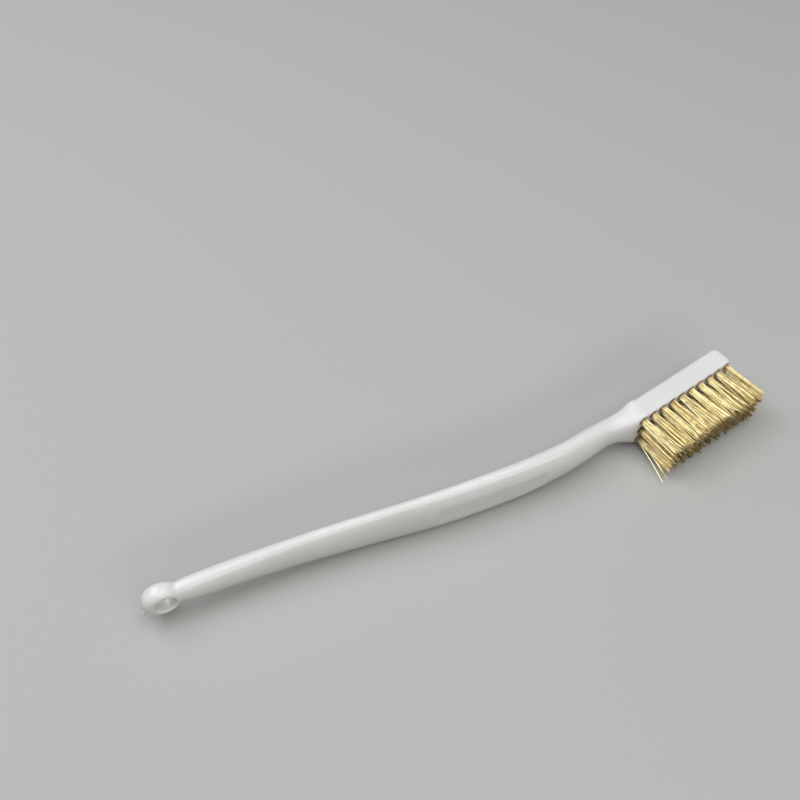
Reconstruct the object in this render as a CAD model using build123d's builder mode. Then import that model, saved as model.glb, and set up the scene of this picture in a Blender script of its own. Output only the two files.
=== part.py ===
from build123d import *
import math
import os

# A hand-held wire brush: a one-piece moulded handle with a bent-back grip, and three rows of
# brass wire tufts, each folded round a flat wire anchor in a blind hole of the head.
#
# Millimetres. The brush lies on its side: +X runs along the head from the hanging end to the
# tip, the wires point to -Y, and +Z is up. The origin is the centre of the hanging hole.

# ---------------------------------------------------------------- tufts and their holes
COLUMNS = 10
ROWS = 3
COLUMN_PITCH = 3.8
ROW_PITCH = 3.9
BORE_DIAMETER = 2.4
BORE_DEPTH = 4.8
TUFT_CLEARANCE = 0.05          # between a tuft and the wall of its hole
TRIM_LENGTH = 13.2             # free length of the wires
TUFT_GAP = 0.5                 # between neighbouring tufts at their tips
FLARE_START = 1.0              # the wires stand straight this far, then spread
TIP_CHAMFER = 0.35

# ---------------------------------------------------------------- anchors
ANCHOR_THICKNESS = 0.4
ANCHOR_HEIGHT = 1.7
ANCHOR_BITE = 0.35             # how far each end cuts into the wall of the hole
FOLD_THICKNESS = 0.5           # wires folded under the anchor

# ---------------------------------------------------------------- head
FACE_Y = -33.2                 # the face that the wires stand on
FIRST_COLUMN_X = 134.8
TIP_MARGIN = 3.0               # from the last column's centre to the end of the head
NECK_MARGIN = 0.5              # from the first column's centre to the shoulder
SIDE_RIM = 0.8                 # beside the outer rows of holes
BACK_WALL = 2.1                # behind the holes
HEAD_SQUARENESS = 6.0
FACE_STOCK = 0.6               # the moulded form is thicker by this before its face is flat
TIP_ROUND = 3.0
SHOULDER_RUN = 3.0             # straight run past the shoulder before the head proper

# ---------------------------------------------------------------- grip and neck
# station along X: centre in Y, thickness, width, squareness (2 is an ellipse)
GRIP = {
    2.0: (-0.4, 4.6, 6.2, 2.0),
    8.0: (-1.8, 5.8, 8.2, 2.0),
    22.0: (-5.2, 5.9, 9.8, 2.0),
    38.0: (-9.6, 5.8, 11.8, 2.0),
    54.0: (-14.5, 5.9, 13.3, 2.0),
    70.0: (-19.5, 6.3, 14.8, 2.0),
    84.0: (-23.1, 6.6, 14.9, 2.0),
    98.0: (-26.0, 6.9, 14.1, 2.0),
    110.0: (-27.5, 6.9, 12.3, 2.0),
    119.0: (-27.8, 6.7, 10.9, 2.1),
    126.0: (-28.0, 6.4, 9.1, 2.3),
    130.5: (-29.2, 7.2, 9.7, 3.0),
}
SECTION_SPACING = 4.5          # between the sections that the grip is lofted through
OUTLINE_POINTS = 32            # points round each section

# ---------------------------------------------------------------- label flat on the belly
FLAT_FROM_X = 70.0
FLAT_TO_X = 102.0
FLAT_DEPTH = 0.35

# ---------------------------------------------------------------- hanging end
HOLE_DIAMETER = 5.6
EYE_WIDTH = 9.8                # across the eye, in Z
EYE_LENGTH = 10.4              # along the tail
EYE_SHIFT = -0.7               # the eye is longer on its far side
EYE_THICKNESS = 5.2
EYE_ROUND = 2.0
TAIL_ANGLE = -12.9             # direction of the tail in the XY plane, in degrees
GATE_LENGTH = 0.8              # the stub left where the moulding was cut from its runner
GATE_THICKNESS = 1.5
GATE_WIDTH = 2.0
GATE_DROP = 1.3                # its centre below the mid-plane
GATE_OFFSET = 1.2              # and towards the side that the wires face
GATE_SLANT = 25.0

# ---------------------------------------------------------------- worked out from the above
columns_x = [FIRST_COLUMN_X + COLUMN_PITCH * i for i in range(COLUMNS)]
rows_z = [ROW_PITCH * ((ROWS - 1) / 2 - j) for j in range(ROWS)]
shoulder_x = columns_x[0] - NECK_MARGIN
head_start_x = shoulder_x + SHOULDER_RUN
head_end_x = columns_x[-1] + TIP_MARGIN
head_width = ROW_PITCH * (ROWS - 1) + BORE_DIAMETER + 2 * SIDE_RIM
head_thickness = BORE_DEPTH + BACK_WALL
head_form = (FACE_Y + (head_thickness - FACE_STOCK) / 2, head_thickness + FACE_STOCK,
             head_width, HEAD_SQUARENESS)
anchor_length = BORE_DIAMETER + 2 * ANCHOR_BITE
anchor_depth = BORE_DEPTH - FOLD_THICKNESS - ANCHOR_HEIGHT / 2
tuft_radius = BORE_DIAMETER / 2 - TUFT_CLEARANCE
# plane of the eye: x along the tail, y along Z, and its normal out of the side that the wires face
tail = Plane(origin=(0, 0, 0), x_dir=Vector(1, 0, 0).rotate(Axis.Z, TAIL_ANGLE),
             z_dir=Vector(0, -1, 0).rotate(Axis.Z, TAIL_ANGLE))
flare_radius = (min(COLUMN_PITCH, ROW_PITCH) - TUFT_GAP) / 2
reach = head_width * 2         # longer than any cut needs


def grip_form(x):
    """Centre, thickness, width and squareness at x, smooth through the stations and the shoulder."""
    knots = dict(GRIP)
    knots[shoulder_x] = head_form
    knots[head_start_x] = head_form
    xs = sorted(knots)
    i = max(k for k in range(len(xs) - 1) if xs[k] <= x or k == 0)
    x0, x1 = xs[i], xs[i + 1]
    t = (x - x0) / (x1 - x0)

    def slope(k, part):
        low, high = xs[max(k - 1, 0)], xs[min(k + 1, len(xs) - 1)]
        return (knots[high][part] - knots[low][part]) / (high - low) * (x1 - x0)

    return tuple(
        (2 * t**3 - 3 * t**2 + 1) * knots[x0][part] + (t**3 - 2 * t**2 + t) * slope(i, part)
        + (3 * t**2 - 2 * t**3) * knots[x1][part] + (t**3 - t**2) * slope(i + 1, part)
        for part in range(4))


def section(x, centre_y, thickness, width, squareness):
    """Closed smooth outline of the handle in the plane at x: an ellipse, or a squarer one."""
    with BuildSketch(Plane.YZ.offset(x)) as sketch:
        with BuildLine():
            points = []
            for k in range(OUTLINE_POINTS):
                angle = 2 * math.pi * k / OUTLINE_POINTS
                c, s = math.cos(angle), math.sin(angle)
                y = math.copysign(abs(c) ** (2 / squareness), c) * thickness / 2
                z = math.copysign(abs(s) ** (2 / squareness), s) * width / 2
                points.append((centre_y + y, z))
            Spline(points, periodic=True)
        make_face()
    return sketch.sketch


def tip_section(angle):
    """Section of the rounded tip: 0 degrees is where it leaves the head, 90 is its flat end."""
    inset = TIP_ROUND * (1 - math.cos(math.radians(angle)))
    x = head_end_x - TIP_ROUND * (1 - math.sin(math.radians(angle)))
    centre_y, thickness, width, squareness = head_form
    return section(x, centre_y, thickness - 2 * inset, width - 2 * inset, squareness)


def hole_plane(x, z, depth=0.0):
    """Plane on the axis of the hole at x, z. Its normal points out of the hole, along -Y."""
    return Plane(origin=(x, FACE_Y + depth, z), x_dir=(1, 0, 0), z_dir=(0, -1, 0))


hole_planes = {(j, i): (x, z) for j, z in enumerate(rows_z) for i, x in enumerate(columns_x)}

# ---------------------------------------------------------------- handle
with BuildPart() as grip:
    first_x = min(GRIP)
    count = math.ceil((head_start_x - first_x) / SECTION_SPACING)
    for k in range(count + 1):
        x = first_x + (head_start_x - first_x) * k / count
        add(section(x, *grip_form(x)))
    loft()

with BuildPart() as tip:
    for angle in (0, 25, 50, 70, 90):
        add(tip_section(angle))
    loft()

with BuildPart() as eye:
    with BuildSketch(tail) as eye_outline:
        with Locations((EYE_SHIFT, 0)):
            Ellipse(EYE_LENGTH / 2, EYE_WIDTH / 2)
    extrude(amount=EYE_THICKNESS / 2, both=True)
    fillet(eye.edges(), EYE_ROUND)
    # gate stub, cut off at a slant
    with BuildSketch(tail.offset(GATE_OFFSET)) as gate_outline:
        end = EYE_SHIFT - EYE_LENGTH / 2
        slant = GATE_WIDTH * math.tan(math.radians(GATE_SLANT))
        gate_low = -GATE_DROP - GATE_WIDTH / 2
        gate_high = -GATE_DROP + GATE_WIDTH / 2
        with BuildLine():
            Polyline((end + EYE_ROUND, gate_low), (end + EYE_ROUND, gate_high),
                     (end - GATE_LENGTH + slant, gate_high), (end - GATE_LENGTH, gate_low), close=True)
        make_face()
    extrude(amount=GATE_THICKNESS / 2, both=True)

with BuildPart() as handle:
    add(grip.part)
    extrude(section(head_start_x, *head_form), amount=head_end_x - TIP_ROUND - head_start_x)
    add(tip.part)
    add(eye.part)

    # the flat face that the wires stand on
    with BuildSketch(Plane.XY):
        with Locations(((head_start_x + head_end_x) / 2, FACE_Y - reach / 2)):
            Rectangle(head_end_x - head_start_x + reach, reach)
    extrude(amount=reach, both=True, mode=Mode.SUBTRACT)

    # label flat: it follows the curve of the belly along X and is straight across
    with BuildSketch(Plane.XY):
        with BuildLine():
            flat_line = []
            for k in range(5):
                x = FLAT_FROM_X + (FLAT_TO_X - FLAT_FROM_X) * k / 4
                centre_y, thickness, _, _ = grip_form(x)
                flat_line.append((x, centre_y - thickness / 2 + FLAT_DEPTH))
            Spline(flat_line)
            Polyline(flat_line[-1], (FLAT_TO_X, FACE_Y - reach), (FLAT_FROM_X, FACE_Y - reach),
                     flat_line[0])
        make_face()
    extrude(amount=reach, both=True, mode=Mode.SUBTRACT)

    # hanging hole
    with Locations(tail.offset(reach / 2)):
        Hole(HOLE_DIAMETER / 2, reach)

    # blind holes for the tufts, and the slots that the anchors cut in their walls
    for x, z in hole_planes.values():
        with Locations(hole_plane(x, z)):
            Hole(BORE_DIAMETER / 2, BORE_DEPTH)
        with Locations(hole_plane(x, z, anchor_depth)):
            Box(anchor_length, ANCHOR_THICKNESS, ANCHOR_HEIGHT, mode=Mode.SUBTRACT)

handle.part.label = "handle"

# ---------------------------------------------------------------- tufts
tufts = []
for (j, i), (x, z) in hole_planes.items():
    with BuildPart() as tuft:
        with BuildSketch(Plane(origin=(x, FACE_Y, z), x_dir=(1, 0, 0), z_dir=(0, 0, 1))):
            with BuildLine():
                Polyline((0, BORE_DEPTH), (tuft_radius, BORE_DEPTH), (tuft_radius, -FLARE_START),
                         (flare_radius, TIP_CHAMFER - TRIM_LENGTH),
                         (flare_radius - TIP_CHAMFER, -TRIM_LENGTH), (0, -TRIM_LENGTH),
                         close=True)
            make_face()
        revolve(axis=Axis((x, FACE_Y, z), (0, 1, 0)))
        with Locations(hole_plane(x, z, anchor_depth)):
            Box(anchor_length, ANCHOR_THICKNESS, ANCHOR_HEIGHT, mode=Mode.SUBTRACT)
    tuft.part.label = f"tuft_row_{j + 1}_column_{i + 1:02d}"
    tufts.append(tuft.part)

# ---------------------------------------------------------------- anchors, one group for each row
anchor_rows = []
for j, z in enumerate(rows_z):
    with BuildPart() as anchors:
        with Locations(*[hole_plane(x, z, anchor_depth) for x in columns_x]):
            Box(anchor_length, ANCHOR_THICKNESS, ANCHOR_HEIGHT)
    anchors.part.label = f"anchors_row_{j + 1}"
    anchor_rows.append(anchors.part)

os.makedirs("parts", exist_ok=True)
for piece in [handle.part, *tufts, *anchor_rows]:
    export_step(piece, f"parts/{piece.label}.step")
    size = piece.bounding_box().size
    print(f"{piece.label}: {len(piece.solids())} solids, {size.X:.1f} x {size.Y:.1f} x {size.Z:.1f} mm")
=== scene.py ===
# %% [markdown]
# # A small brass wire brush
#
# The brush has a one-piece moulded plastic handle with a bent-back grip, a flat head with three
# rows of ten blind holes, and a tuft of brass wires in each hole. Every tuft is folded round a
# little flat steel anchor that bites into the wall of its hole.
#
# The drawing of the brush is loaded first. It fixes all sizes and places, and nothing here moves
# it. Each finished piece takes the place of one or more of the drawing's solids.

# %% Load the drawing
import math

import bmesh
import bpy
from mathutils import Matrix, Vector


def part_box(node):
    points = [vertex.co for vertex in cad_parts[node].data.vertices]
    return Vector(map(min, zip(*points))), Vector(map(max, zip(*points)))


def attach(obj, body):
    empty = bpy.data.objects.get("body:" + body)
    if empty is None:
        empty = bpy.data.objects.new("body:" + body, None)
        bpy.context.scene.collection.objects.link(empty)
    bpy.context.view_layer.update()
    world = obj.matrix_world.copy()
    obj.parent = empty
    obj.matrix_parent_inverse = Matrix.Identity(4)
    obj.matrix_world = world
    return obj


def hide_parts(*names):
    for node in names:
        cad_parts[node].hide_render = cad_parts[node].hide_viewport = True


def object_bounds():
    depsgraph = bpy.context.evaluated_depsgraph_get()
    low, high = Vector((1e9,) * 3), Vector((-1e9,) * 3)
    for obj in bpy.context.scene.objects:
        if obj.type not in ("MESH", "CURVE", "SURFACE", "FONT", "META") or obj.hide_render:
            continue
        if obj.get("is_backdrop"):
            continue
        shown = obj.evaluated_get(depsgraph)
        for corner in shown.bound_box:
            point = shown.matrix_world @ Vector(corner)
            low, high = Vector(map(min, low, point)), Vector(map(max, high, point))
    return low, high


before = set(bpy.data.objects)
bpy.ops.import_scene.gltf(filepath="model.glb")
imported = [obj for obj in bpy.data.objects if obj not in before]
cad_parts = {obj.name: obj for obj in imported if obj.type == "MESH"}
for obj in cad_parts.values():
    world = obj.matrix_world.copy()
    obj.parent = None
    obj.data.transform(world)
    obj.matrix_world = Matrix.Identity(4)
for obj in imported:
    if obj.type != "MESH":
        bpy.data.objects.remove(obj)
drawn_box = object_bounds()
scene = bpy.context.scene
MM = 0.001

# %% [markdown]
# ## Camera
#
# The brush is seen from above its belly, with the head at the upper right and the hanging eye at
# the lower left. A camera turns easily when it is given a place, a point to look at and a small
# roll, because its two angles then follow from those.

# %% Camera
CAMERA_PLACE = Vector((-24.69, -128.96, 228.47)) * MM
CAMERA_AIM = Vector((85.64, 16.0, 0.0)) * MM
CAMERA_ROLL = math.radians(0.94)
CAMERA_LENS = 45.15

camera = bpy.data.objects.new("camera", bpy.data.cameras.new("camera"))
scene.collection.objects.link(camera)
camera.data.lens = CAMERA_LENS
camera.data.sensor_width = 36.0
camera.data.clip_start = 0.01
camera.data.clip_end = 20.0
looking = (CAMERA_AIM - CAMERA_PLACE).normalized()
camera.rotation_mode = "QUATERNION"
camera.rotation_quaternion = (looking.to_track_quat("-Z", "Y").to_matrix()
                              @ Matrix.Rotation(CAMERA_ROLL, 3, "Z")).to_quaternion()
camera.location = CAMERA_PLACE
scene.camera = camera

print("camera looks down at", round(math.degrees(math.asin(-looking.z)), 1), "degrees")

# %% [markdown]
# ## Helpers for node trees
#
# Materials and Geometry Nodes are both trees of nodes. One helper adds a node and fills its
# inputs: an input that is given a socket is linked, and any other value is set on it. A second
# one makes the named inputs and outputs of a group.

# %% Node helpers
def put(tree, kind, inputs=(), **settings):
    """Adds a node of this kind. inputs is a dict by name or number, or a list in order."""
    made = tree.nodes.new(kind)
    for name, value in settings.items():
        setattr(made, name, value)
    pairs = inputs.items() if isinstance(inputs, dict) else enumerate(inputs)
    for key, value in pairs:
        if isinstance(value, bpy.types.NodeSocket):
            tree.links.new(value, made.inputs[key])
        elif value is not None:
            made.inputs[key].default_value = value
    return made


def maths(tree, operation, *values):
    """The result of a Math node."""
    kind = "ShaderNodeMath"
    return put(tree, kind, values, operation=operation).outputs[0]


def ranged(tree, value, low, high, to_low, to_high):
    """value carried from the range low..high to the range to_low..to_high, and kept inside it."""
    return put(tree, "ShaderNodeMapRange", [value, low, high, to_low, to_high]).outputs[0]


def blended(tree, share, first, second):
    """A colour between two colours."""
    mix = put(tree, "ShaderNodeMix", {0: share, 6: first, 7: second}, data_type="RGBA")
    return mix.outputs[2]


def new_group(kind, name, inputs, outputs):
    """An empty node group with named inputs (name, type, value) and outputs (name, type)."""
    tree = bpy.data.node_groups.new(name, kind)
    for label, socket, value in inputs:
        made = tree.interface.new_socket(
            label, in_out="INPUT", socket_type="NodeSocket" + socket)
        if value is not None:
            made.default_value = value
    for label, socket in outputs:
        tree.interface.new_socket(label, in_out="OUTPUT", socket_type="NodeSocket" + socket)
    given = tree.nodes.new("NodeGroupInput").outputs
    result = tree.nodes.new("NodeGroupOutput").inputs
    return tree, given, result


# %% [markdown]
# ## Finishes that several materials share
#
# Moulded plastic, drawn wire and cut steel look different, but three things happen to all of
# them. Their gloss is never even, their colour drifts a little from place to place, and they
# have a fine relief. Each of the three is a node group with named inputs, so that a material
# only gives its own sizes and strengths. The size of a pattern is given as marks per metre.

# %% Uneven gloss
gloss_group, given, result = new_group(
    "ShaderNodeTree", "uneven_gloss",
    [("Vector", "Vector", None), ("Marks", "Float", 300.0), ("Smooth", "Float", 0.2),
     ("Rough", "Float", 0.4)],
    [("Roughness", "Float")])
cloud = put(gloss_group, "ShaderNodeTexNoise",
            {"Vector": given["Vector"], "Scale": given["Marks"], "Detail": 5.0, "Roughness": 0.6})
gloss_group.links.new(
    ranged(gloss_group, cloud.outputs[0], 0.32, 0.68, given["Smooth"], given["Rough"]),
    result["Roughness"])

print("group", gloss_group.name)

# %% Drifting colour
drift_group, given, result = new_group(
    "ShaderNodeTree", "drifting_colour",
    [("Vector", "Vector", None), ("Marks", "Float", 60.0), ("First", "Color", None),
     ("Second", "Color", None)],
    [("Color", "Color"), ("Mask", "Float")])
cloud = put(drift_group, "ShaderNodeTexNoise",
            {"Vector": given["Vector"], "Scale": given["Marks"], "Detail": 4.0, "Roughness": 0.55})
share = ranged(drift_group, cloud.outputs[0], 0.35, 0.65, 0.0, 1.0)
drift_group.links.new(blended(drift_group, share, given["First"], given["Second"]),
                      result["Color"])
drift_group.links.new(share, result["Mask"])

print("group", drift_group.name)

# %% Fine relief
relief_group, given, result = new_group(
    "ShaderNodeTree", "fine_relief",
    [("Vector", "Vector", None), ("Marks", "Float", 2000.0), ("Strength", "Float", 0.1),
     ("Depth", "Float", 0.00002)],
    [("Normal", "Vector")])
cloud = put(relief_group, "ShaderNodeTexNoise",
            {"Vector": given["Vector"], "Scale": given["Marks"], "Detail": 3.0, "Roughness": 0.5})
bumped = put(relief_group, "ShaderNodeBump",
             {"Strength": given["Strength"], "Distance": given["Depth"],
              "Height": cloud.outputs[0]})
relief_group.links.new(bumped.outputs[0], result["Normal"])

print("group", relief_group.name)


# %% [markdown]
# A material starts from the Principled shader. A value that is the same all over the piece is
# set on the shader itself, and only what changes from place to place comes from the groups.

# %% Material helper
def new_material(name, **constants):
    """A new material, its tree, its Principled shader and its Object coordinates."""
    material = bpy.data.materials.new(name)
    material.use_nodes = True
    tree = material.node_tree
    shader = tree.nodes["Principled BSDF"]
    for key, value in constants.items():
        shader.inputs[key.replace("_", " ")].default_value = value
    place = tree.nodes.new("ShaderNodeTexCoord").outputs["Object"]
    return material, tree, shader, place


def use_group(tree, group, **inputs):
    """Places a shared group in a material. Names of inputs are given in lower case."""
    made = put(tree, "ShaderNodeGroup", node_tree=group)
    for key, value in inputs.items():
        socket = made.inputs[key.capitalize()]
        if isinstance(value, bpy.types.NodeSocket):
            tree.links.new(value, socket)
        else:
            socket.default_value = value
    return made.outputs


# %% [markdown]
# ## White plastic of the handle
#
# The handle is moulded in one shot from white polypropylene. The plastic is milky: light goes a
# millimetre or two into it, which softens its shadows, so the shader gets a little subsurface
# scattering. Its skin copies the polished mould and is glossy, with a very slight waviness
# where the part shrank as it cooled. A few dark specks of burnt plastic sit in it.

# %% White plastic
SPECK_CORE = 0.012
SPECK_EDGE = 0.022
SPECK_RARITY = 0.97
SPECK_STRENGTH = 0.7

plastic, tree, shader, place = new_material(
    "white_plastic", IOR=1.49, Subsurface_Weight=0.35, Subsurface_Scale=0.0012,
    Subsurface_Radius=(1.0, 0.9, 0.8))
tone = use_group(tree, drift_group, vector=place, marks=45.0,
                 first=(0.87, 0.867, 0.86, 1.0), second=(0.82, 0.817, 0.805, 1.0))
specks = put(tree, "ShaderNodeTexVoronoi", {"Vector": place, "Scale": 95.0})
speck = ranged(tree, specks.outputs["Distance"], SPECK_CORE, SPECK_EDGE, 1.0, 0.0)
cell = put(tree, "ShaderNodeSeparateColor", [specks.outputs["Color"]]).outputs[0]
rare = maths(tree, "GREATER_THAN", cell, SPECK_RARITY)
seen = maths(tree, "MULTIPLY", maths(tree, "MULTIPLY", speck, rare), SPECK_STRENGTH)
coloured = blended(tree, seen, tone["Color"], (0.18, 0.16, 0.14, 1.0))
tree.links.new(coloured, shader.inputs["Base Color"])
gloss = use_group(tree, gloss_group, vector=place, marks=140.0, smooth=0.07, rough=0.13)
tree.links.new(gloss["Roughness"], shader.inputs["Roughness"])
skin = use_group(tree, relief_group, vector=place, marks=160.0, strength=0.1, depth=0.00002)
tree.links.new(skin["Normal"], shader.inputs["Normal"])

print("material", plastic.name, len(tree.nodes), "nodes")

# %% [markdown]
# ## Brass of the wires
#
# The wires are hard-drawn brass. Each one carries two values that the wire tree below stores on
# it: `wire_tone`, which differs from wire to wire, and `wire_along`, which runs from 0 at the
# anchor to 1 at the tip. The tone leaves a third of the wires pale and makes the others browner
# by degrees. The run along the wire darkens the root, where it leaves the hole, as painted shade
# for the gaps between the wires, and, very slightly, the cut tip. Small brown stains lie over all
# of it.

# %% Brass wire
PALE_SHARE = 0.35
STAIN_STRENGTH = 0.45
TIP_STARTS, TIP_DULLNESS = 0.95, 0.15
# The darkening at the root of the wires is painted shade for the gaps between them.
ROOT_FADES, ROOT_ENDS, ROOT_PAINTED_SHADE = 0.26, 0.32, 0.6

brass, tree, shader, place = new_material("brass_wire", Metallic=1.0)
tone = put(tree, "ShaderNodeAttribute", attribute_name="wire_tone").outputs["Fac"]
along = put(tree, "ShaderNodeAttribute", attribute_name="wire_along").outputs["Fac"]
wire_colour = blended(tree, ranged(tree, tone, PALE_SHARE, 1.0, 0.0, 1.0),
                      (0.98, 0.90, 0.55, 1.0), (0.60, 0.44, 0.18, 1.0))
stained = use_group(tree, drift_group, vector=place, marks=650.0,
                    first=(0.70, 0.54, 0.24, 1.0), second=(0.30, 0.20, 0.08, 1.0))
stain = maths(tree, "MULTIPLY", stained["Mask"], STAIN_STRENGTH)
wire_colour = blended(tree, stain, wire_colour, stained["Color"])
tip = ranged(tree, along, TIP_STARTS, 1.0, 0.0, TIP_DULLNESS)
# Painted shade: the root of each wire is darkened towards brown to stand for the shade between the
# wires; the tip is darkened only very slightly, at its cut end.
root = ranged(tree, along, ROOT_FADES, ROOT_ENDS, ROOT_PAINTED_SHADE, 0.0)
dull_tip_and_painted_root_shade = maths(tree, "MAXIMUM", tip, root)
tree.links.new(blended(tree, dull_tip_and_painted_root_shade, wire_colour, (0.33, 0.21, 0.10, 1.0)),
               shader.inputs["Base Color"])
gloss = use_group(tree, gloss_group, vector=place, marks=900.0, smooth=0.12, rough=0.24)
tree.links.new(gloss["Roughness"], shader.inputs["Roughness"])
drawn = use_group(tree, relief_group, vector=place, marks=900.0, strength=0.1, depth=0.00001)
tree.links.new(drawn["Normal"], shader.inputs["Normal"])

print("material", brass.name, len(tree.nodes), "nodes")

# %% [markdown]
# ## Steel of the anchors
#
# An anchor is a short length of flat galvanised steel wire, cut off by the tufting machine. It
# has a dull grey zinc skin in small crystals, so its gloss and its colour change from one
# crystal to the next.

# %% Anchor steel
ROWS = (1, 2, 3)

steel, tree, shader, place = new_material("anchor_steel", Metallic=1.0)
tone = use_group(tree, drift_group, vector=place, marks=900.0,
                 first=(0.52, 0.53, 0.54, 1.0), second=(0.40, 0.41, 0.43, 1.0))
tree.links.new(tone["Color"], shader.inputs["Base Color"])
gloss = use_group(tree, gloss_group, vector=place, marks=1400.0, smooth=0.32, rough=0.55)
tree.links.new(gloss["Roughness"], shader.inputs["Roughness"])
crystals = use_group(tree, relief_group, vector=place, marks=2600.0, strength=0.3, depth=0.00002)
tree.links.new(crystals["Normal"], shader.inputs["Normal"])

for row in ROWS:
    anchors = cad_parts[f"anchors_row_{row}"]
    anchors.data.materials.clear()
    anchors.data.materials.append(steel)

print("material", steel.name, len(tree.nodes), "nodes")

# %% [markdown]
# ## Handle
#
# The drawing already has the handle's exact shape, with the hanging eye, the stub of the gate
# and the thirty blind holes. A moulding has no knife-sharp edges, though: molten plastic leaves
# a small round on every edge. So the handle is a copy of the drawing's mesh, welded from its
# loose triangles, rebuilt in small even cells and then smoothed a little, which rounds its
# edges by about the size of a cell and leaves a skin that shades cleanly.

# %% Handle from the drawing
HANDLE_CELL = 0.305 * MM
WELD_DISTANCE = 0.001 * MM
SMOOTH_PASSES = 3

handle = bpy.data.objects.new("moulded_handle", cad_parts["handle"].data.copy())
scene.collection.objects.link(handle)
mesh = bmesh.new()
mesh.from_mesh(handle.data)
bmesh.ops.remove_doubles(mesh, verts=mesh.verts, dist=WELD_DISTANCE)
mesh.to_mesh(handle.data)
mesh.free()

rebuild = handle.modifiers.new("even_cells", "REMESH")
rebuild.mode = "VOXEL"
rebuild.voxel_size = HANDLE_CELL
rebuild.use_smooth_shade = True
soften = handle.modifiers.new("soft_edges", "CORRECTIVE_SMOOTH")
soften.use_only_smooth = True
soften.factor = 0.5
soften.iterations = SMOOTH_PASSES

rebuilt = bpy.data.meshes.new_from_object(
    handle.evaluated_get(bpy.context.evaluated_depsgraph_get()))
handle.modifiers.clear()
handle.data = rebuilt
handle.data.materials.clear()
handle.data.materials.append(plastic)

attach(handle, "root")
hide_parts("handle")
print("handle", len(handle.data.polygons), "faces")

# %% [markdown]
# ## One row of tufts, as a Geometry Nodes tree
#
# A tuft is a bundle of wires in a round hole, and a row is ten tufts in a line. All wires are
# the same short length of round wire, so the tree draws one straight line, copies it once for
# every wire of the row, and then moves the copies' points:
#
# 1. The number of a copy gives its tuft and its place in the tuft. The places follow the
#    pattern of sunflower seeds, which fills a circle evenly with any number of wires.
# 2. Each wire starts at the bottom of the hole, passes beside the anchor, and leaves the face.
# 3. From there it spreads towards the tips, with a small random lean for the tuft and for the
#    wire, and is cut at a slightly uneven length.
# 4. Each line becomes a round wire with closed ends.
#
# Every size is a named input, and the random numbers start from a fixed seed.

# %% Inputs of the tuft tree
ROOTED_LENGTH = 4.6 * MM

tuft_tree, given, result = new_group(
    "GeometryNodeTree", "tuft_row",
    [("Geometry", "Geometry", None), ("Tufts", "Int", 10), ("Wires per tuft", "Int", 22),
     ("First root", "Vector", None), ("Tuft pitch", "Float", 0.0038),
     ("Wire radius", "Float", 0.00018), ("Bundle radius", "Float", 0.00101),
     ("Free length", "Float", 0.0132), ("Uneven length", "Float", 0.0007),
     ("Rooted length", "Float", ROOTED_LENGTH), ("Anchor gap", "Float", 0.0004),
     ("Spread", "Float", 0.45), ("Tuft lean", "Float", 0.0003), ("Wire lean", "Float", 0.0006),
     ("Stray share", "Float", 0.0), ("Stray reach", "Vector", None), ("Seed", "Int", 1),
     ("Finish", "Material", None)],
    [("Geometry", "Geometry")])
tuft_tree.is_modifier = True

print("tuft tree has", len(tuft_tree.interface.items_tree) - 1, "inputs")

# %% [markdown]
# The copies of the line are numbered from 0. Dividing the number by the wires in a tuft gives
# the tuft, and the remainder gives the wire. A random value that is asked for by one of those
# numbers is the same all along a wire, or the same for a whole tuft.

# %% Copies of one line, and their numbers
LINE_POINTS = 8

line = put(tuft_tree, "GeometryNodeCurvePrimitiveLine", {1: (0.0, -1.0, 0.0)})
stepped = put(tuft_tree, "GeometryNodeResampleCurve",
              {"Curve": line.outputs[0], "Count": LINE_POINTS})
total = maths(tuft_tree, "MULTIPLY", given["Tufts"], given["Wires per tuft"])
copies = put(tuft_tree, "GeometryNodeDuplicateElements",
             {"Geometry": stepped.outputs[0], "Amount": total}, domain="SPLINE")
number = copies.outputs["Duplicate Index"]
tuft_number = maths(tuft_tree, "FLOOR", maths(
    tuft_tree, "DIVIDE", maths(tuft_tree, "ADD", number, 0.5), given["Wires per tuft"]))
wire_number = maths(tuft_tree, "SUBTRACT", number, maths(
    tuft_tree, "MULTIPLY", tuft_number, given["Wires per tuft"]))


def chance(low, high, by, offset):
    """A random number between low and high, the same wherever the number `by` is the same.

    offset keeps the draws of one use apart from those of another.
    """
    seed = maths(tuft_tree, "ADD", given["Seed"], offset)
    return put(tuft_tree, "FunctionNodeRandomValue",
               {2: low, 3: high, "ID": by, "Seed": seed}, data_type="FLOAT").outputs[1]


print("copied", LINE_POINTS, "points a wire")

# %% [markdown]
# The place of a wire in its bundle is an angle and a distance from the middle. Wires cannot pass
# through the flat anchor, which lies across the middle of the hole, so down there each wire is
# pushed to its own side of it. The push fades out over the last two millimetres below the face.

# %% Place in the bundle
GOLDEN_ANGLE = math.pi * (3 - math.sqrt(5))
PUSH_FADES_AT = -2.0 * MM
PUSH_SQUEEZE = 0.4

turn = maths(tuft_tree, "ADD", maths(tuft_tree, "MULTIPLY", wire_number, GOLDEN_ANGLE),
             chance(0.0, 2 * math.pi, tuft_number, 11))
share = maths(tuft_tree, "SQRT", maths(
    tuft_tree, "DIVIDE", maths(tuft_tree, "ADD", wire_number, 0.5), given["Wires per tuft"]))
out = maths(tuft_tree, "MULTIPLY", share, given["Bundle radius"])
root_x = maths(tuft_tree, "MULTIPLY", out, maths(tuft_tree, "COSINE", turn))
root_z = maths(tuft_tree, "MULTIPLY", out, maths(tuft_tree, "SINE", turn))

factor = put(tuft_tree, "GeometryNodeSplineParameter").outputs["Factor"]
free = maths(tuft_tree, "ADD", given["Free length"], maths(
    tuft_tree, "MULTIPLY", given["Uneven length"], chance(-1.0, 1.0, number, 12)))
drop = maths(tuft_tree, "SUBTRACT", maths(
    tuft_tree, "MULTIPLY", factor, maths(tuft_tree, "ADD", free, given["Rooted length"])),
    given["Rooted length"])

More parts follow.
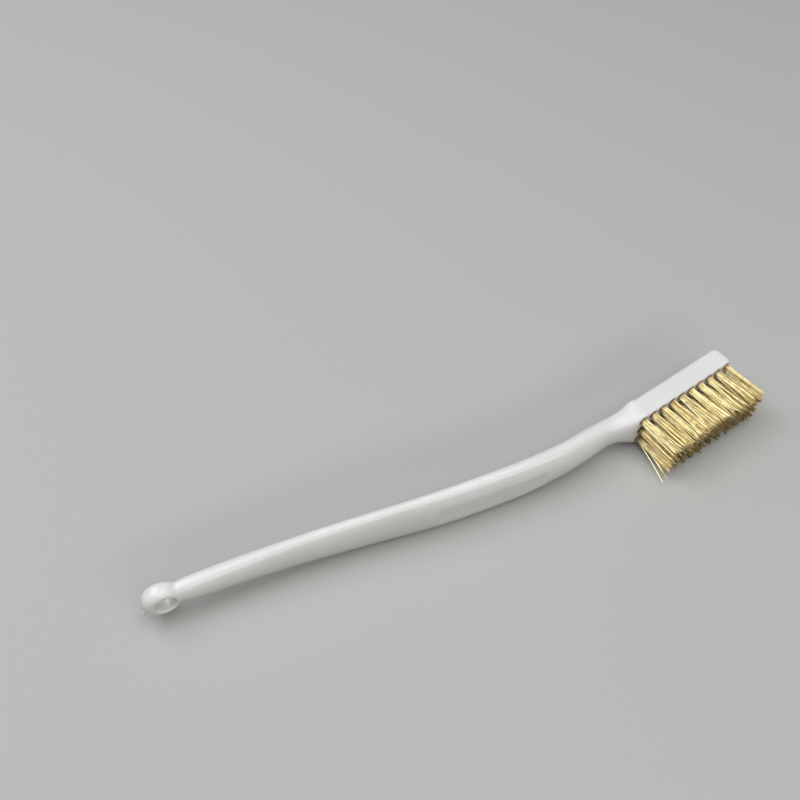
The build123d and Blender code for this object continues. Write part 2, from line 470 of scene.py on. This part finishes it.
sunk = ranged(tuft_tree, drop, PUSH_FADES_AT, 0.0, 1.0, 0.0)
beside = maths(tuft_tree, "MULTIPLY", maths(tuft_tree, "SIGN", root_z), given["Anchor gap"])
push = maths(tuft_tree, "MULTIPLY", sunk, maths(
    tuft_tree, "SUBTRACT", beside, maths(tuft_tree, "MULTIPLY", root_z, PUSH_SQUEEZE)))

print("wires start", round(ROOTED_LENGTH / MM, 1), "mm deep")

# %% [markdown]
# Above the face a wire spreads. How far it has gone from the face to the tip is raised to a
# power above 1, so it leaves the hole almost straight and bends away gently, as stiff wire
# does. In the first tuft of a row, a share of the wires can stray: they lean much further, as
# they do where the end of a brush has been pushed about.

# %% Spread and lean
SPREAD_POWER = 1.25
LEAST_STRAY = 0.35

gone = maths(tuft_tree, "DIVIDE", drop, given["Free length"])
eased = maths(tuft_tree, "POWER", ranged(tuft_tree, gone, 0.0, 2.0, 0.0, 2.0), SPREAD_POWER)
astray = maths(tuft_tree, "MULTIPLY", maths(
    tuft_tree, "LESS_THAN", chance(0.0, 1.0, number, 13), given["Stray share"]),
    maths(tuft_tree, "LESS_THAN", tuft_number, 0.5))
stray_by = put(tuft_tree, "ShaderNodeVectorMath",
               {0: given["Stray reach"], "Scale": maths(
                   tuft_tree, "MULTIPLY", astray, chance(LEAST_STRAY, 1.0, number, 14))},
               operation="SCALE").outputs[0]
stray = put(tuft_tree, "ShaderNodeSeparateXYZ", [stray_by]).outputs


def sideways(root, offset):
    """How far a wire's tip goes sideways, along X or along Z."""
    spread = maths(tuft_tree, "MULTIPLY", root, given["Spread"])
    by_tuft = maths(tuft_tree, "MULTIPLY", given["Tuft lean"],
                    chance(-1.0, 1.0, tuft_number, offset))
    by_wire = maths(tuft_tree, "MULTIPLY", given["Wire lean"],
                    chance(-1.0, 1.0, number, offset + 1))
    return maths(tuft_tree, "ADD", spread, maths(tuft_tree, "ADD", by_tuft, by_wire))


tip_x = maths(tuft_tree, "MULTIPLY", eased,
              maths(tuft_tree, "ADD", sideways(root_x, 20), stray[0]))
tip_z = maths(tuft_tree, "MULTIPLY", eased,
              maths(tuft_tree, "ADD", sideways(root_z, 30), stray[2]))

print("spread grows with the power", SPREAD_POWER)

# %% Points of the wires, and the wires themselves
WIRE_SIDES = 6

first = put(tuft_tree, "ShaderNodeSeparateXYZ", [given["First root"]]).outputs
tuft_x = maths(tuft_tree, "ADD", first[0], maths(
    tuft_tree, "MULTIPLY", tuft_number, given["Tuft pitch"]))
point_x = maths(tuft_tree, "ADD", tuft_x, maths(tuft_tree, "ADD", root_x, tip_x))
point_y = maths(tuft_tree, "SUBTRACT", first[1], maths(tuft_tree, "ADD", drop, maths(
    tuft_tree, "MULTIPLY", stray[1], eased)))
point_z = maths(tuft_tree, "ADD", first[2], maths(
    tuft_tree, "ADD", maths(tuft_tree, "ADD", root_z, push), tip_z))
target = put(tuft_tree, "ShaderNodeCombineXYZ", [point_x, point_y, point_z]).outputs[0]
placed = put(tuft_tree, "GeometryNodeSetPosition",
             {"Geometry": copies.outputs[0], "Position": target})
toned = put(tuft_tree, "GeometryNodeStoreNamedAttribute",
            {"Geometry": placed.outputs[0], "Name": "wire_tone",
             "Value": chance(0.0, 1.0, number, 15)},
            data_type="FLOAT", domain="POINT")
marked = put(tuft_tree, "GeometryNodeStoreNamedAttribute",
             {"Geometry": toned.outputs[0], "Name": "wire_along", "Value": factor},
             data_type="FLOAT", domain="POINT")
ring = put(tuft_tree, "GeometryNodeCurvePrimitiveCircle",
           {"Resolution": WIRE_SIDES, "Radius": given["Wire radius"]})
round_wires = put(tuft_tree, "GeometryNodeCurveToMesh",
                  {"Curve": marked.outputs[0], "Profile Curve": ring.outputs[0], "Fill Caps": True})
real = put(tuft_tree, "GeometryNodeRealizeInstances", [round_wires.outputs[0]])
finished = put(tuft_tree, "GeometryNodeSetMaterial",
               {"Geometry": real.outputs[0], "Material": given["Finish"]})
tuft_tree.links.new(finished.outputs[0], result["Geometry"])

print("tuft tree has", len(tuft_tree.nodes), "nodes")

# %% [markdown]
# ## Three rows of tufts
#
# The drawing says where each tuft stands, so the first root of a row comes from the box of the
# row's first tuft. Only the row at the open side has strays, at the end nearest the grip.

# %% Build the rows
COLUMNS = 10
FACE_Y = -33.2 * MM
STRAYS = {3: (0.16, (-3.4 * MM, 0.6 * MM, -0.6 * MM))}  # row: share, reach of the tips
NO_STRAYS = (0.0, (0.0, 0.0, 0.0))
FIRST_SEED = 40


def set_inputs(modifier, values):
    """Sets a Geometry Nodes modifier's inputs, found by name and set by their identifiers."""
    for item in modifier.node_group.interface.items_tree:
        if item.item_type == "SOCKET" and item.in_out == "INPUT" and item.name in values:
            modifier[item.identifier] = values[item.name]


for row in ROWS:
    nodes = [f"tuft_row_{row}_column_{column:02d}" for column in range(1, COLUMNS + 1)]
    low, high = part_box(nodes[0])
    next_low, next_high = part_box(nodes[1])
    stray_share, stray_reach = STRAYS.get(row, NO_STRAYS)
    maker = bpy.data.objects.new(f"row_maker_{row}", bpy.data.meshes.new(f"row_maker_{row}"))
    scene.collection.objects.link(maker)
    modifier = maker.modifiers.new("tufts", "NODES")
    modifier.node_group = tuft_tree
    set_inputs(modifier, {
        "Tufts": COLUMNS,
        "First root": ((low.x + high.x) / 2, FACE_Y, (low.z + high.z) / 2),
        "Tuft pitch": next_low.x - low.x,
        "Free length": FACE_Y - low.y,
        "Stray share": stray_share,
        "Stray reach": stray_reach,
        "Seed": FIRST_SEED + row,
        "Finish": brass,
    })
    wires = bpy.data.objects.new(f"wires_row_{row}", bpy.data.meshes.new_from_object(
        maker.evaluated_get(bpy.context.evaluated_depsgraph_get())))
    scene.collection.objects.link(wires)
    bpy.data.objects.remove(maker)
    for face in wires.data.polygons:
        face.use_smooth = len(face.vertices) == 4
    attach(wires, "root")
    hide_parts(*nodes)
    print(wires.name, len(wires.data.polygons), "faces", len(wires.data.materials), "material")

# %% [markdown]
# ## Floor and light
#
# The brush lies on its side on a plain pale table. White plastic picks up light from whatever it
# lies on, and on a pale table its shaded side would be lost. So the table has two colours: a
# pale one for rays that show it, straight or in a reflection, and a dark one for the light that
# it throws back. The room behind it has two strengths in the same way.

# %% Floor and surroundings
FLOOR_COLOUR = (0.52, 0.52, 0.51, 1.0)
FLOOR_BOUNCE = (0.17, 0.15, 0.12, 1.0)
FLOOR_REACH = 3.0
FLOOR_MIDDLE_X = 90.0 * MM
FLOOR_GAP = 0.02 * MM
ROOM_COLOUR = (1.0, 0.98, 0.95, 1.0)
ROOM_SHOWN = 0.55
ROOM_LIGHT = 0.13


def shown_rays(tree):
    """1 for rays that show a surface to the camera, in a mirror or through glass, else 0."""
    ray = put(tree, "ShaderNodeLightPath").outputs
    return maths(tree, "MAXIMUM", ray["Is Camera Ray"], maths(
        tree, "MAXIMUM", ray["Is Glossy Ray"], ray["Is Transmission Ray"]))


low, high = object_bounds()
mesh = bmesh.new()
floor_place = Matrix.Translation((FLOOR_MIDDLE_X, 0.0, low.z - FLOOR_GAP))
bmesh.ops.create_grid(mesh, x_segments=1, y_segments=1, size=FLOOR_REACH, matrix=floor_place)
floor = bpy.data.objects.new("floor", bpy.data.meshes.new("floor"))
mesh.to_mesh(floor.data)
mesh.free()
scene.collection.objects.link(floor)
table, tree, shader, place = new_material("pale_table", Roughness=0.85)
tree.links.new(blended(tree, shown_rays(tree), FLOOR_BOUNCE, FLOOR_COLOUR),
               shader.inputs["Base Color"])
floor.data.materials.append(table)
floor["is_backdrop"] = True

world = bpy.data.worlds.new("room")
scene.world = world
world.use_nodes = True
room = world.node_tree
backdrop = room.nodes["Background"]
backdrop.inputs["Color"].default_value = ROOM_COLOUR
room.links.new(ranged(room, shown_rays(room), 0.0, 1.0, ROOM_LIGHT, ROOM_SHOWN),
               backdrop.inputs["Strength"])

print("floor at", round(low.z / MM, 2), "mm")

# %% [markdown]
# Three large lamps light the brush. A very wide one overhead is the main light, so that the
# upper side is the brightest and the shade grows evenly towards the table. A smaller one behind
# gives the wires a bright side, and a long low strip in front gives the plastic its thin bright
# line.

# %% Lamps
MIDDLE = Vector((0.085, -0.02, 0.0))


def lamp(name, direction, distance, width, height, watts, colour=(1.0, 1.0, 1.0)):
    """A rectangular lamp in that direction from the brush, turned to face it."""
    data = bpy.data.lights.new(name, "AREA")
    data.shape = "RECTANGLE"
    data.size = width
    data.size_y = height
    data.energy = watts
    data.color = colour
    made = bpy.data.objects.new(name, data)
    scene.collection.objects.link(made)
    towards = Vector(direction).normalized()
    made.location = MIDDLE + towards * distance
    made.rotation_mode = "QUATERNION"
    made.rotation_quaternion = (-towards).to_track_quat("-Z", "Y")
    made.visible_camera = False
    return made


lamp("key", (-0.38, 0.50, 0.78), 0.8, 0.55, 0.36, 2.3, (0.98, 0.99, 1.0))
lamp("strip", (-0.02, -0.88, 0.44), 0.9, 1.0, 0.16, 2.1)
lamp("top", (0.0, -0.16, 1.0), 1.0, 1.0, 1.1, 6.1, (0.99, 1.0, 1.0))

# %% [markdown]
# ## Finish
#
# The colours are shown as they are written, without a film look. The two boxes that are written
# out let the finished brush be compared with the drawing.

# %% View and finish
scene.view_settings.view_transform = "Standard"

shown_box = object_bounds()
for name, box in (("drawn", drawn_box), ("shown", shown_box)):
    print(name, *([round(v / MM, 2) for v in corner] for corner in box))
